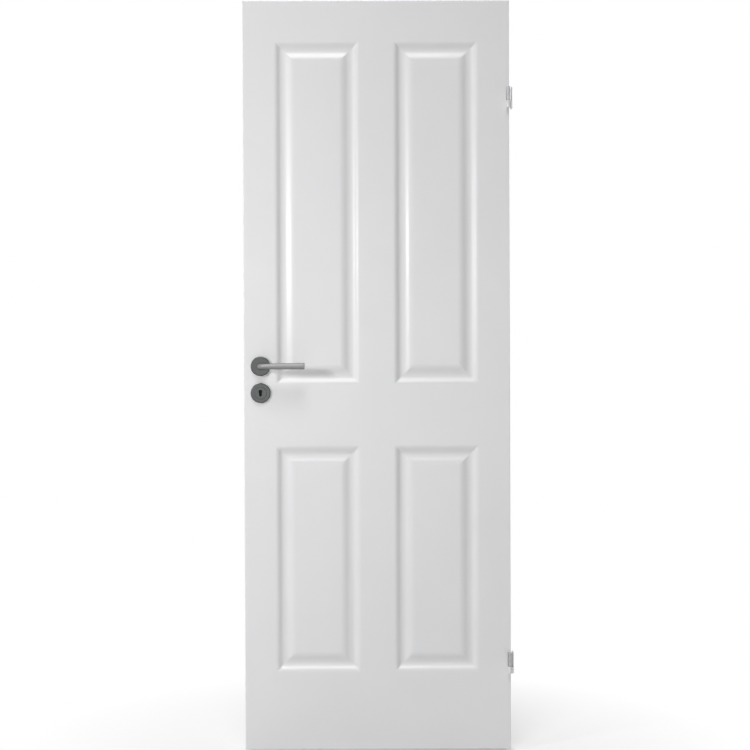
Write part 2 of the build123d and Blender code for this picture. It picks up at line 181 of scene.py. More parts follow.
class IronworkSettings(bpy.types.PropertyGroup):
    """Finish of the hinges and the lock, and the sizes of their screws."""

    hinge_steel: tint("Hinge steel", "Dull zinc on the leaf's halves", (0.40, 0.40, 0.41))
    frame_lacquer: tint("Frame half lacquer", "White lacquer on the frame's halves", (0.80, 0.80, 0.81))
    washer_plastic: tint("Washer plastic", "Bearing ring", (0.75, 0.75, 0.74))
    case_steel: tint("Case steel", "Black coated lock case", (0.03, 0.03, 0.03))
    bright_steel: tint("Bright steel", "Bolts, face plate, pins and screws", (0.52, 0.51, 0.50))
    head_radius: size("Screw head radius", "Radius of the countersunk heads", 0.0043)
    shank_radius: size("Screw shank radius", "Radius under the head", 0.0024)
    head_sink: size("Screw sink", "The head below the plate's surface", 0.0001)
    across: size("Screw pitch across", "Between the hinge screws, front to back", 0.016)
    up: size("Screw pitch up", "Between the hinge screws, up the plate", 0.036)
    forend_pitch: size("Face plate screw pitch", "Between the face plate's two screws", 0.145)


class StageSettings(bpy.types.PropertyGroup):
    """Camera, lamps and floor."""

    camera_place: place("Camera", "Where the camera stands", (-0.3955, -4.020, 0.830))
    camera_turn: FloatVectorProperty(
        name="Camera turn", description="Pitch, yaw and roll of the view", subtype="EULER", size=3,
        default=tuple(np.radians([-0.613, 0.276, -0.214]).tolist()))
    lens: FloatProperty(name="Lens", description="Focal length", default=70.45, unit="CAMERA")
    floor_drop: size("Floor drop", "Gap under the leaf", 0.008)
    floor_reach: size("Floor reach", "Half the floor's width", 9.0)
    floor_tint: tint("Floor", "Pale matt floor", (0.86, 0.86, 0.86))
    fade_from: size("Fade from", "Distance from the foot at which the floor starts to fade", 0.40)
    fade_to: size("Fade to", "Distance from the foot at which the floor is white", 1.0)
    near_white: share("Near white", "Share of white in the floor at the foot", 0.35)
    side_lamp: strength("Side lamp", "Small, low lamp to the left", 23.0)
    side_lamp_place: place("Side lamp place", "Where it hangs", (-2.280, -1.550, 1.310))
    side_lamp_pane: pane("Side lamp size", (0.4, 0.2))
    front_box: strength("Front softbox", "Softbox behind the camera", 19.2)
    front_box_place: place("Front softbox place", "Where it hangs", (-0.400, -4.500, 0.700))
    front_box_pane: pane("Front softbox size", (2.0, 1.2))
    front_box_aim: size("Front softbox aim", "Height that it points at", 0.7)
    high_box: strength("High softbox", "Large softbox far above the camera", 380.0)
    high_box_place: place("High softbox place", "Where it hangs", (-1.000, -4.456, 8.690))
    high_box_pane: pane("High softbox size", (3.0, 3.0))
    high_box_aim: size("High softbox aim", "Height that it points at", 0.9)
    back_box: strength("Back softbox", "Softbox for the other face", 135.0)
    back_box_place: place("Back softbox place", "Where it hangs", (-2.300, 4.200, 4.200))
    back_box_pane: pane("Back softbox size", (1.4, 1.4))
    edge_box: strength("Edge softbox", "Softbox for the hinge edge", 100.0)
    edge_box_place: place("Edge softbox place", "Where it hangs", (3.400, 2.200, 2.000))
    edge_box_pane: pane("Edge softbox size", (1.0, 1.2))
    room: share("Room light", "Even light from all round", 0.03)


def grid_quads(rows, columns):
    """Corner numbers of every cell of a grid whose points are kept row after row."""
    at = np.arange(rows * columns).reshape(rows, columns)
    return np.stack([at[:-1, :-1], at[1:, :-1], at[1:, 1:], at[:-1, 1:]], axis=-1).reshape(-1, 4)


def close_up(points, quads):
    """Joins points at one place, and tells quads from triangles.

    Two points are one where they round to the same tenth of a micron. A quad with two neighbouring
    corners in one point is a triangle, and one with more than that is dropped. Returns the points, the
    faces, for each face's corners the numbers that they had before, and each old point's new number.
    """
    _, first, joined = np.unique(np.round(points / WELD_STEP).astype(np.int64), axis=0,
                                 return_index=True, return_inverse=True)
    joined = joined.reshape(-1)
    corners = joined[quads]
    double = corners == np.roll(corners, -1, axis=1)
    folded = (corners[:, 0] == corners[:, 2]) | (corners[:, 1] == corners[:, 3])
    count = double.sum(axis=1)
    whole, three = (count == 0) & ~folded, (count == 1)
    faces, before = [corners[whole]], [quads[whole]]
    faces.append(corners[three][~double[three]].reshape(-1, 3))
    before.append(quads[three][~double[three]].reshape(-1, 3))
    return points[first], faces, before, joined


def enclosed(points, faces):
    """Volume inside closed faces: a sixth of the sum of each triangle's triple product."""
    total = 0.0
    for group in faces:
        for last in range(2, group.shape[1]):
            a, b, c = points[group[:, 0]], points[group[:, last - 1]], points[group[:, last]]
            total += np.einsum("ij,ij->", a, np.cross(b, c)) / 6
    return total


def make_piece(name, points, quads, material, uv=None, values=None, ridges=None):
    """Puts a closed surface into a mesh object, its faces turned outwards.

    uv holds two numbers for each point before joining, values one number as the attribute "pressed",
    and ridges pairs of points between which an edge stays sharp. Other edges are sharp past CREASE.
    """
    places, faces, before, joined = close_up(points, quads)
    if enclosed(places, faces) < 0:
        faces, before = [f[:, ::-1] for f in faces], [b[:, ::-1] for b in before]
    mesh = bpy.data.meshes.new(name)
    mesh.from_pydata(places.tolist(), [], [f for group in faces for f in group.tolist()])
    mesh.polygons.foreach_set("use_smooth", np.ones(len(mesh.polygons), bool))
    mesh.set_sharp_from_angle(angle=np.radians(CREASE))
    if ridges is not None:
        ends = np.zeros(2 * len(mesh.edges), np.int64)
        mesh.edges.foreach_get("vertices", ends)
        ends = np.sort(ends.reshape(-1, 2), axis=1)
        lines = np.sort(joined[ridges], axis=1)
        sharp = np.zeros(len(mesh.edges), bool)
        mesh.edges.foreach_get("use_edge_sharp", sharp)
        sharp |= np.isin(ends @ [1, len(places)], lines @ [1, len(places)])
        mesh.edges.foreach_set("use_edge_sharp", sharp)
    corners = np.concatenate([b.reshape(-1) for b in before])
    if uv is not None:
        layer = mesh.uv_layers.new(name="worked")
        layer.data.foreach_set("uv", uv[corners].astype(np.float32).reshape(-1))
    if values is not None:
        spread = mesh.attributes.new("pressed", "FLOAT", "CORNER")
        spread.data.foreach_set("value", values[corners].astype(np.float32))
    mesh.materials.append(material)
    mesh.validate()
    mesh.update()
    piece = bpy.data.objects.new(name, mesh)
    bpy.context.scene.collection.objects.link(piece)
    return piece


def corner_arc(middle, radius, start, end, steps):
    """Points of an arc: middle + radius times the cosine and sine of evenly spaced angles in degrees."""
    angle = np.radians(np.linspace(start, end, steps))
    return np.stack([middle[0] + radius * np.cos(angle), middle[1] + radius * np.sin(angle)], axis=1)


def ogee(along, width, drop, turn):
    """An S curve of two arcs that starts and ends level and drops by drop over width.

    The arcs meet at the share turn of both width and drop. An arc over w and d has the radius
    R = (w^2 + d^2) / 2d. The first lies at R - sqrt(R^2 - u^2), and the second is its like seen from the
    end.
    """
    u = np.clip(along, 0, width)

    def bow(run, part):
        radius = part * (width ** 2 + drop ** 2) / (2 * drop)
        return radius - np.sqrt(radius ** 2 - np.minimum(run, part * width) ** 2)

    return np.where(u < turn * width, bow(u, turn), drop - bow(width - u, 1 - turn))


def moulding_depth(inset, leaf):
    """Depth of the moulding at a distance in from the panel's edge: down one ogee and up another."""
    down = ogee(inset, leaf.ovolo, leaf.groove, leaf.ovolo_turn)
    up = ogee(inset - leaf.ovolo, leaf.scoop, leaf.groove - leaf.field, leaf.scoop_turn)
    return down - up


def ruling_lines(low, high, spans, insets, extra, arris_out, arris_down):
    """Lines across the leaf: the arris at both ends, the moulding's steps in every span, and extra ones.

    Returns each line's place, how far the arris has dropped there, and its distance into a panel, which
    is below 0 outside the panels.
    """
    inner = [np.concatenate([a + insets, b - insets]) for a, b in spans]
    flat = np.unique(np.round(np.concatenate(inner + [np.array(extra)]), 7))
    lines = np.concatenate([low + arris_out, flat, (high - arris_out)[::-1]])
    drop = np.concatenate([arris_down, np.zeros(len(flat)), arris_down[::-1]])
    into = np.max([np.minimum(lines - a, b - lines) for a, b in spans], axis=0)
    return lines, drop, into


def panel_spans(leaf):
    """From where to where the panels run across the leaf, and from where to where up it."""
    width = (LEAF_HIGH[0] - LEAF_LOW[0] - 2 * leaf.side_margin - leaf.muntin) / 2
    left = LEAF_LOW[0] + leaf.side_margin
    right = left + width + leaf.muntin
    foot = LEAF_LOW[2] + leaf.bottom_margin
    upper = foot + leaf.lower_panel + leaf.lock_margin
    columns = [(left, left + width), (right, right + width)]
    rows = [(foot, foot + leaf.lower_panel), (upper, LEAF_HIGH[2] - leaf.top_margin)]
    return columns, rows


def moulding_steps(leaf, rows, pocket_z):
    """Distances into a panel at which lines run: along both curves, and where a pocket cuts them."""
    inset = leaf.ovolo + leaf.scoop
    steps = np.concatenate([[-BESIDE], np.linspace(0, leaf.ovolo, CURVE_STEPS),
                            np.linspace(leaf.ovolo, inset, CURVE_STEPS)[1:], [inset + BESIDE]])
    cut = np.concatenate([(pocket_z[:, None] - [a for a, _ in rows]).reshape(-1),
                          ([b for _, b in rows] - pocket_z[:, None]).reshape(-1)])
    return np.unique(np.round(np.concatenate([steps, cut[(cut > 0) & (cut < inset)]]), 7))


def mitred_faces(cells, depth):
    """Faces of a sheet's cells, with each cell on a mitre parted along its diagonal.

    A cell is flat where the depths of its opposite corners have one sum. A triangle is a face with its
    last corner twice. Returns the faces and the ends of the diagonals.
    """
    d = depth.reshape(-1)[cells]
    bent = np.abs(d[:, 0] - d[:, 1] + d[:, 2] - d[:, 3]) > FLAT
    rising = bent & (np.abs(d[:, 1] - d[:, 3]) < FLAT)
    a, b = cells[rising], cells[bent & ~rising]
    faces = np.concatenate([cells[~bent], a[:, [0, 1, 2, 2]], a[:, [0, 2, 3, 3]],
                            b[:, [1, 2, 3, 3]], b[:, [0, 1, 3, 3]]])
    return faces, np.concatenate([a[:, [0, 2]], b[:, [1, 3]]])


def pocket_rims(cells, hollow):
    """Edges between a cell that is kept and one that is left out, all running the same way round."""
    wide, tall = hollow[1:] != hollow[:-1], hollow[:, 1:] != hollow[:, :-1]
    right, above = cells[1:][wide], cells[:, 1:][tall]
    return np.concatenate([
        np.where(hollow[1:][wide][:, None], right[:, [0, 3]], right[:, [3, 0]]),
        np.where(hollow[:, 1:][tall][:, None], above[:, [1, 0]], above[:, [0, 1]])])


def pressed_skin(side, leaf, pockets):
    """Points and faces of one pressed skin.

    The sheet is a grid of lines x and z. Its depth below the face is the arris's drop plus
    moulding_depth of the least distance to a panel's sides, so the mouldings meet in mitres on the cells'
    diagonals. The inner sheet lies a skin's thickness deeper. Cells in pockets are left out and walled.
    """
    arc = corner_arc((leaf.arris, leaf.arris), leaf.arris, 180, 270, 6)
    rounded = leaf.arris + BESIDE
    arris_out = np.concatenate([[0.0], arc[:, 0], [rounded]])
    arris_down = np.concatenate([[leaf.skin_thickness], arc[:, 1], [0.0]])
    columns, rows = panel_spans(leaf)
    pocket_x, pocket_z = pockets[:, :2].reshape(-1), pockets[:, 2:].reshape(-1)
    inside = (pocket_x > LEAF_LOW[0] + rounded) & (pocket_x < LEAF_HIGH[0] - rounded)
    steps = moulding_steps(leaf, rows, pocket_z)
    x, x_drop, x_into = ruling_lines(LEAF_LOW[0], LEAF_HIGH[0], columns, steps, pocket_x[inside],
                                     arris_out, arris_down)
    z, z_drop, z_into = ruling_lines(LEAF_LOW[2], LEAF_HIGH[2], rows, steps, pocket_z,
                                     arris_out, arris_down)
    pressed = moulding_depth(np.minimum(x_into[:, None], z_into), leaf)
    depth = np.maximum(x_drop[:, None], z_drop) + pressed
    across, up = np.meshgrid(x, z, indexing="ij")
    sheets = [np.stack([across, FACE_LEVELS[side] - FACES[side] * d, up], axis=-1).reshape(-1, 3)
              for d in (depth, pressed + leaf.skin_thickness)]
    middle_x, middle_z = (x[1:] + x[:-1]) / 2, (z[1:] + z[:-1]) / 2
    hollow = np.zeros((len(middle_x), len(middle_z)), bool)
    for x0, x1, z0, z1 in pockets:
        hollow |= ((middle_x > x0) & (middle_x < x1))[:, None] & ((middle_z > z0) & (middle_z < z1))
    cells = grid_quads(len(x), len(z)).reshape(len(x) - 1, len(z) - 1, 4)
    sheet, ridges = mitred_faces(cells[~hollow], depth)
    rim, count = pocket_rims(cells, hollow), depth.size
    walls = np.concatenate([rim[:, ::-1], rim + count], axis=1)
    quads = np.concatenate([sheet, sheet[:, ::-1] + count, walls[:, ::-1]])
    values = np.tile((pressed / leaf.groove).reshape(-1), 2)
    return np.concatenate(sheets), quads, values, np.concatenate([ridges, ridges + count])


def turned_ring(outline, axis, face, out, around):
    """A closed half outline of radius and height, carried once round an axis that stands on a face.

    A point at turn t is axis + radius (cos t, sin t) in x and z, and face + out * height in y. The UV map
    holds the turn's share and the length along the outline in metres.
    """
    closed = np.concatenate([outline, outline[:1]])
    turn = np.linspace(0, 2 * np.pi, around + 1)
    run = np.concatenate([[0], np.cumsum(np.hypot(*np.diff(closed, axis=0).T))])
    radius, height = closed[:, :1], closed[:, 1:]
    points = np.stack([axis[0] + radius * np.cos(turn), face + out * height + 0 * turn,
                       axis[1] + radius * np.sin(turn)], axis=-1)
    uv = np.stack(np.broadcast_arrays(turn / (2 * np.pi), run[:, None]), axis=-1)
    return points.reshape(-1, 3), grid_quads(*points.shape[:2]), uv.reshape(-1, 2)


def keyhole_radius(turn, handle):
    """Distance from the rose's middle to the keyhole's edge in a direction.

    The keyhole is a round head over a round-ended slot. A ray leaves a circle of centre c and radius R at
    c.d + sqrt((c.d)^2 + R^2 - |c|^2), and the slot's straight side at w / |cos t|. The edge is the further
    of the head's and the slot's.
    """
    head_up = handle.keyhole_height / 2 - handle.keyhole_head
    foot_down = handle.keyhole_height / 2 - handle.keyhole_slot
    up = head_up * np.sin(turn)
    head = up + np.sqrt(up ** 2 + handle.keyhole_head ** 2 - head_up ** 2)
    side = handle.keyhole_slot / np.maximum(np.abs(np.cos(turn)), 1e-6)
    down = -foot_down * np.sin(turn)
    foot = down + np.sqrt(np.maximum(down ** 2 + handle.keyhole_slot ** 2 - foot_down ** 2, 0))
    rise = side * np.sin(turn)
    slot = np.where(rise < -foot_down, foot, np.where(rise > head_up, 0, side))
    return np.maximum(head, slot)


def keyed_disc(axis, face, out, height, rim, handle):
    """A key rose: one outline carried round the rose's middle, whose inner end is the keyhole's edge.

    Each ring of the surface is radius(turn) = hole + share * (outer - hole), with its height, from the
    keyhole's foot up its wall, over the raised middle and the rim, and back under.
    """
    top, step = height, height - handle.boss_height
    shoulder = handle.keyhole_height / 2 - handle.keyhole_head - np.sqrt(
        handle.keyhole_head ** 2 - handle.keyhole_slot ** 2)
    corner = np.arctan2(shoulder, handle.keyhole_slot)
    turn = np.sort(np.concatenate([np.linspace(-np.pi, np.pi, handle.around * 2 + 1),
                                   [corner, np.pi - corner]]))
    hole = keyhole_radius(turn, handle)
    lip = 0.0004
    boss = corner_arc((handle.boss_radius - handle.boss_edge, top - handle.boss_edge), handle.boss_edge,
                      90, 0, 6)
    edge = corner_arc((rim - handle.rose_edge, step - handle.rose_edge), handle.rose_edge, 90, 0, 9)
    outer = np.concatenate([boss, [[handle.boss_radius, step], [handle.boss_radius + lip, step]], edge,
                            [[rim, 0.0]]])
    shares = np.array([[0.33], [0.66]])
    radius = np.concatenate([
        [hole, hole, hole + lip], hole + lip + shares * (boss[0, 0] - hole - lip),
        np.repeat(outer[:, :1], len(turn), axis=1), [hole]])
    level = np.concatenate([[0.0, top - lip, top, top, top], outer[:, 1], [0.0]])
    points = np.stack([axis[0] + radius * np.cos(turn), face + out * level[:, None] + 0 * radius,
                       axis[1] + radius * np.sin(turn)], axis=-1)
    uv = np.stack([np.broadcast_to(turn / (2 * np.pi), radius.shape), radius], axis=-1)
    return points.reshape(-1, 3), grid_quads(*radius.shape), uv.reshape(-1, 2)


def bent_lever(axis, face, out, handle):
    """A round section carried along the neck, the elbow and the grip.

    The path runs straight out of the face, turns through a quarter circle and goes along x. The section's
    radius is the neck's, then eases by 3t^2 - 2t^3 over the flare to the grip's, and rounds to a flat end.
    A point is path + radius (cos t up + sin t side), with side at right angles to the path.
    """
    reach = abs(LEVER_LOW[1] - LEAF_LOW[1]) - handle.grip_radius
    length = LEVER_HIGH[0] - axis[0]
    stem = reach - handle.elbow
    bend = np.radians(np.linspace(0, 90, 19))
    flare = np.linspace(0, 1, 15)[1:]
    straight = np.linspace(handle.elbow + handle.flare, length - handle.grip_end, 9)[1:]
    tip = corner_arc((length - handle.grip_end, handle.grip_radius - handle.grip_end), handle.grip_end,
                     90, 0, 6)
    along = np.concatenate([[0, 0, 0], handle.elbow * (1 - np.cos(bend)),
                            handle.elbow + handle.flare * flare, straight, tip[1:, 0], [length, length]])
    high = np.concatenate([[0, 0, stem * 0.5], stem + handle.elbow * np.sin(bend),
                           np.full(len(along) - 3 - len(bend), reach)])
    eased = 3 * flare ** 2 - 2 * flare ** 3
    swell = handle.neck_radius + (handle.grip_radius - handle.neck_radius) * eased
    radius = np.concatenate([[0], np.full(2 + len(bend), handle.neck_radius), swell,
                             np.full(len(straight), handle.grip_radius), tip[1:, 1],
                             [0.5 * tip[-1, 1], 0]])
    lean = np.concatenate([[0, 0, 0], bend, np.full(len(along) - 3 - len(bend), np.pi / 2)])
    turn = np.linspace(0, 2 * np.pi, handle.around + 1)
    side = radius[:, None] * np.sin(turn)
    points = np.stack([axis[0] + along[:, None] - side * np.cos(lean)[:, None],
                       face + out * (high[:, None] + side * np.sin(lean)[:, None]),
                       axis[1] + radius[:, None] * np.cos(turn)], axis=-1)
    run = np.concatenate([[0], np.cumsum(np.hypot(np.diff(along), np.diff(high)))])
    uv = np.stack(np.broadcast_arrays(run[:, None], turn / (2 * np.pi)), axis=-1)
    return points.reshape(-1, 3), grid_quads(*side.shape), uv.reshape(-1, 2)


def screw_head(at, outward, irons, turn_by):
    """A countersunk head with a cross recess.

    The top is a disc of radius r and turn t, sunk by the recess: full depth where the lesser of |x| and |y|
    is within the cross's arm and the greater within its reach, eased to nothing at its border. Under it a
    cone runs to the shank.
    """
    reach, arm, deep = 0.62 * irons.head_radius, 0.17 * irons.head_radius, 0.0011
    turn = np.linspace(0, 2 * np.pi, 49)
    ring = np.concatenate([np.linspace(0, 0.72, 13), [0.82, 0.93, 1.0]]) * irons.head_radius
    flat, tall = ring[:, None] * np.cos(turn), ring[:, None] * np.sin(turn)
    least, most = np.minimum(abs(flat), abs(tall)), np.maximum(abs(flat), abs(tall))
    soft = 0.00025
    cross = np.clip((arm - least) / soft + 0.5, 0, 1) * np.clip((reach - most) / soft + 0.5, 0, 1)
    level = -irons.head_sink - deep * cross * (1 - 0.5 * most / reach)
    neck, end = -0.0021, -0.0028
    cone = np.array([[irons.shank_radius, neck], [irons.shank_radius, end], [0, end]])
    flat = np.concatenate([flat, cone[:, :1] * np.cos(turn)])
    tall = np.concatenate([tall, cone[:, :1] * np.sin(turn)])
    level = np.concatenate([level, np.repeat(cone[:, 1:], len(turn), axis=1)])
    c, s = np.cos(turn_by), np.sin(turn_by)
    points = np.stack([at[0] + outward * level, at[1] + c * flat - s * tall, at[2] + s * flat + c * tall],
                      axis=-1)
    return points.reshape(-1, 3), grid_quads(*level.shape)


def add(tree, kind, sockets=None, **settings):
    """A shader node with its settings; a socket is given a value or another node's output."""
    node = tree.nodes.new(kind)
    for key, value in settings.items():
        setattr(node, key, value)
    for key, value in (sockets or {}).items():
        if isinstance(value, bpy.types.NodeSocket):
            tree.links.new(value, node.inputs[key])
        else:
            node.inputs[key].default_value = value
    return node


def new_finish(name):
    """An empty material with a surface shader joined to its output."""
    material = bpy.data.materials.new(name)
    material.use_nodes = True
    tree = material.node_tree
    tree.nodes.clear()
    shader = add(tree, "ShaderNodeBsdfPrincipled")
    add(tree, "ShaderNodeOutputMaterial", {"Surface": shader.outputs["BSDF"]})
    return material, tree, shader


def stretched(tree, scale, uv=False):
    """Object or UV coordinates, scaled along each axis."""
    source = add(tree, "ShaderNodeUVMap", uv_map="worked").outputs["UV"] if uv else (
        add(tree, "ShaderNodeTexCoord").outputs["Object"])
    return add(tree, "ShaderNodeMapping", {"Vector": source, "Scale": scale}).outputs["Vector"]


def speckle(tree, vector, scale, detail=3.0, rough=0.55):
    """Soft noise from 0 to 1."""
    return add(tree, "ShaderNodeTexNoise",
               {"Vector": vector, "Scale": scale, "Detail": detail, "Roughness": rough}).outputs["Fac"]


def ranged(tree, value, low, high, span=NOISE_SPAN):
    """A value drawn from its span out to low..high."""
    return add(tree, "ShaderNodeMapRange", {"Value": value, "From Min": span[0], "From Max": span[1],
                                            "To Min": low, "To Max": high}).outputs["Result"]


def toned(tree, value, colour, dark, light):
    """A colour that runs from dark to light times itself over a noise's span."""
    ramp = add(tree, "ShaderNodeValToRGB", {"Fac": value})
    for element, position, by in zip(ramp.color_ramp.elements, NOISE_SPAN, (dark, light)):
        element.position = position
        element.color = (*[min(1.0, c * by) for c in colour], 1.0)
    return ramp.outputs["Color"]


def bumped(tree, value, height, distance, below=None):
    """Bump from a value, on top of another bump where one is given."""
    sockets = {"Height": value, "Strength": height, "Distance": distance}
    if below is not None:
        sockets["Normal"] = below
    return add(tree, "ShaderNodeBump", sockets).outputs["Normal"]


def sprayed_lacquer(name, colour, roughness):
    """White lacquer on a pressed sheet: faint orange peel, slow unevenness and painted shade that darkens
    the bottom of the groove.
    """
    material, tree, shader = new_finish(name)
    plain = stretched(tree, (1, 1, 1))
    slow = speckle(tree, plain, 3.5, 2.0)
    shade = toned(tree, slow, colour, 0.985, 1.01)
    groove = add(tree, "ShaderNodeAttribute", attribute_name="pressed").outputs["Fac"]
    # Painted shade: up to a tenth of grey is mixed into the colour where the moulding is deepest.
    groove_shade_share = ranged(tree, groove, 0.0, 0.10, (0.86, 1.0))
    groove_shaded = add(tree, "ShaderNodeMix", {"Factor": groove_shade_share, "A": shade, "B": (0.55, 0.55, 0.54, 1.0)},
                data_type="RGBA")
    tree.links.new(groove_shaded.outputs["Result"], shader.inputs["Base Color"])
    tree.links.new(ranged(tree, speckle(tree, plain, 22.0), roughness - 0.03, roughness + 0.04),
                   shader.inputs["Roughness"])
    peel = bumped(tree, speckle(tree, plain, 420.0, 2.0), 0.10, 0.0004)
    waves = bumped(tree, speckle(tree, plain, 18.0, 1.0), 0.05, 0.002, peel)
    tree.links.new(waves, shader.inputs["Normal"])
    return material


def painted_timber(name, colour, grain):
    """Lacquer brushed on timber: fine raised grain along one axis, with a slightly uneven shade."""
    material, tree, shader = new_finish(name)
    fibres = speckle(tree, stretched(tree, grain), 1.0, 6.0, 0.6)
    tree.links.new(toned(tree, fibres, colour, 0.95, 1.01), shader.inputs["Base Color"])
    tree.links.new(ranged(tree, fibres, 0.34, 0.50), shader.inputs["Roughness"])
    tree.links.new(bumped(tree, fibres, 0.35, 0.0006), shader.inputs["Normal"])
    return material


def worked_steel(name, colour, roughness, scale, uv=True):
    """Satin steel with fine lines from the belt or the lathe, as noise drawn out along the work."""
    material, tree, shader = new_finish(name)
    lines = speckle(tree, stretched(tree, scale, uv), 1.0, 4.0, 0.65)
    tree.links.new(toned(tree, lines, colour, 0.90, 1.08), shader.inputs["Base Color"])
    tree.links.new(ranged(tree, lines, roughness - 0.06, roughness + 0.06), shader.inputs["Roughness"])
    tree.links.new(bumped(tree, lines, 0.12, 0.0002), shader.inputs["Normal"])
    shader.inputs["Metallic"].default_value = 1.0
    return material


def dull_zinc(name, colour):
    """Zinc plate: small crystals that differ a little in shade and gloss."""
    material, tree, shader = new_finish(name)
    plain = stretched(tree, (1, 1, 1))
    flake = add(tree, "ShaderNodeTexVoronoi", {"Vector": plain, "Scale": 330.0}).outputs["Color"]
    grey = add(tree, "ShaderNodeRGBToBW", {"Color": flake}).outputs["Val"]
    tree.links.new(toned(tree, grey, colour, 0.86, 1.10), shader.inputs["Base Color"])
    tree.links.new(ranged(tree, grey, 0.52, 0.64), shader.inputs["Roughness"])
    tree.links.new(bumped(tree, speckle(tree, plain, 900.0), 0.15, 0.0003), shader.inputs["Normal"])
    shader.inputs["Metallic"].default_value = 1.0
    return material


def moulded_plastic(name, colour, roughness, grain=700.0):
    """Nylon, or a thick coat on metal, with the fine grain of its making."""
    material, tree, shader = new_finish(name)
    pores = speckle(tree, stretched(tree, (1, 1, 1)), grain)
    tree.links.new(toned(tree, pores, colour, 0.90, 1.06), shader.inputs["Base Color"])
    tree.links.new(ranged(tree, pores, roughness - 0.05, roughness + 0.08), shader.inputs["Roughness"])
    tree.links.new(bumped(tree, pores, 0.12, 0.0003), shader.inputs["Normal"])
    return material


def coat_node(node, material):
    """Gives a CAD node that stays its finish."""
    mesh_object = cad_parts[node]
    if not mesh_object.material_slots:
        mesh_object.data.materials.append(material)
    for slot in mesh_object.material_slots:
        slot.material = material


def settle(piece, body, slot, *nodes):
    """Lets a new piece ride on a body in place of the nodes it stands for; the slot argument is not used.
    """
    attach(piece, body)
    if nodes:
        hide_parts(*nodes)


def drive_screw(name, at, outward, turn_by, irons, steel):
    """Makes one screw head, which rides on the leaf."""
    points, quads = screw_head(at, outward, irons, turn_by)
    settle(make_piece(name, points, quads, steel), "leaf", "bright_steel")


class DOOR_OT_press_skins(bpy.types.Operator):
    """Presses both skins with their four panels"""

    bl_idname = "door.press_skins"
    bl_label = "Press the skins"

    def execute(self, context):
        leaf = context.scene.door_leaf
        lacquer = sprayed_lacquer("white_lacquer", leaf.lacquer, leaf.roughness)
        drilled = [(HANDLE_AXIS, leaf.handle_hole), (KEY_AXIS, leaf.key_hole)]
        holes = [(x - r, x + r, z - r, z + r) for (x, z), r in drilled]
        inner, outside = LEAF_HIGH[0] - leaf.let_in, LEAF_HIGH[0] + 1
        lets = [(inner, outside, z - HINGE_HALF_HEIGHT, z + HINGE_HALF_HEIGHT) for z in HINGE_LEVELS]
        for side in FACES:
            pockets = np.array(holes + (lets if side == "front" else []))
            points, quads, values, ridges = pressed_skin(side, leaf, pockets)
            piece = make_piece(side + "_pressed_skin", points, quads, lacquer, values=values, ridges=ridges)
            settle(piece, "leaf", "leaf_lacquer", side + "_skin")
        return {"FINISHED"}


class DOOR_OT_lacquer_edges(bpy.types.Operator):
    """Lacquers the timbers that show at the leaf's edges"""

    bl_idname = "door.lacquer_edges"
    bl_label = "Lacquer the edges"

    def execute(self, context):
        colour = context.scene.door_leaf.edge_lacquer
        upright = painted_timber("edge_lacquer_upright", colour, (420, 420, 9))
        level = painted_timber("edge_lacquer_level", colour, (9, 420, 420))
        for node in ("lock_stile", "hinge_stile"):
            coat_node(node, upright)
        for node in ("top_rail", "bottom_rail"):
            coat_node(node, level)
        return {"FINISHED"}


class DOOR_OT_turn_roses(bpy.types.Operator):
    """Turns the handle roses, their bearing bushes and the key roses"""

    bl_idname = "door.turn_roses"
    bl_label = "Turn the roses"

    def execute(self, context):
        handle = context.scene.door_handle
        # Painted reflection: the dark base colour stands in for the dark camera side mirrored in the roses'
        # flat faces.
        steel = worked_steel("rose_satin_steel", handle.rose_steel, 0.36, (2.0, 2600.0, 1.0))
        plastic = moulded_plastic("bush_nylon", handle.bush_plastic, 0.42)
        for side, out in FACES.items():
            face = FACE_LEVELS[side]
            rim, top = disc_size(side + "_handle_rose")
            edge = corner_arc((rim - handle.rose_edge, top - handle.rose_edge), handle.rose_edge, 0, 90, 9)
            outline = np.concatenate([[[handle.rose_bore, 0], [rim, 0]], edge, [[handle.rose_bore, top]]])
            points, quads, uv = turned_ring(outline, HANDLE_AXIS, face, out, handle.around)
            rose = make_piece(side + "_turned_rose", points, quads, steel, uv)
            settle(rose, "leaf", "rose_steel", side + "_handle_rose")
            rim, top = disc_size(side + "_neck_bush")
            lip = handle.bush_lip
            outline = np.concatenate([
                [[handle.bush_bore, 0], [rim, 0]],
                corner_arc((rim - lip, top - lip), lip, 0, 90, 5),
                corner_arc((handle.bush_bore + lip, top - lip), lip, 90, 180, 5)])
            points, quads, uv = turned_ring(outline, HANDLE_AXIS, face, out, handle.around)
            bush = make_piece(side + "_bearing_bush", points, quads, plastic, uv)
            settle(bush, "leaf", "bush_plastic", side + "_neck_bush")
            rim, top = disc_size(side + "_key_rose")
            points, quads, uv = keyed_disc(KEY_AXIS, face, out, top, rim, handle)
            key = make_piece(side + "_keyhole_rose", points, quads, steel, uv)
            settle(key, "leaf", "rose_steel", side + "_key_rose")
        return {"FINISHED"}


class DOOR_OT_bend_levers(bpy.types.Operator):
    """Bends the two levers and finishes their spindle"""

    bl_idname = "door.bend_levers"
    bl_label = "Bend the levers"

    def execute(self, context):
        handle = context.scene.door_handle
        steel = worked_steel("lever_satin_steel", handle.lever_steel, 0.60, (30.0, 260.0, 1.0))
        for side, out in FACES.items():
            points, quads, uv = bent_lever(HANDLE_AXIS, FACE_LEVELS[side], out, handle)
            piece = make_piece(side + "_bent_lever", points, quads, steel, uv)
            settle(piece, "handle", "lever_steel", side + "_lever")
        coat_node("spindle", dull_zinc("spindle_zinc", context.scene.door_irons.hinge_steel))
        return {"FINISHED"}


